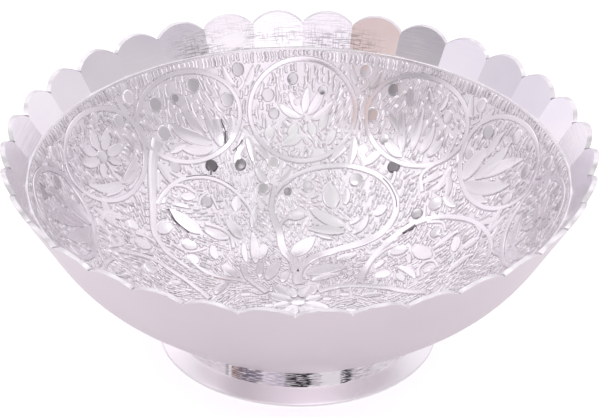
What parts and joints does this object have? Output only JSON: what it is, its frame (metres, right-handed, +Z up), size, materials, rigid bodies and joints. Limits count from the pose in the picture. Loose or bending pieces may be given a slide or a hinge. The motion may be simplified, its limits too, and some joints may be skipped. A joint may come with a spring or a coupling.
{
  "type": "offering bowl",
  "caption": "Round footed offering bowl with a lobed, planished rim, a chased floral inside and a soldered ring foot.",
  "frame": {"origin": "middle of the foot's underside, on the table", "axes": "+Z up out of the bowl's mouth; +X through the middle of a lobe of the rim"},
  "size_m": [0.1532, 0.1526, 0.0545],
  "materials": {
    "bright_plate": "silver plate over cast brass, satin outside, chased and bright inside",
    "brushed_plate": "silver plate over cast brass, turned and brushed",
    "solder": "plated over hard solder, slightly dull"
  },
  "bodies": {
    "root": {"bowl": "bright_plate", "foot_ring": "brushed_plate", "solder_seam": "solder"}
  },
  "joints": []
}
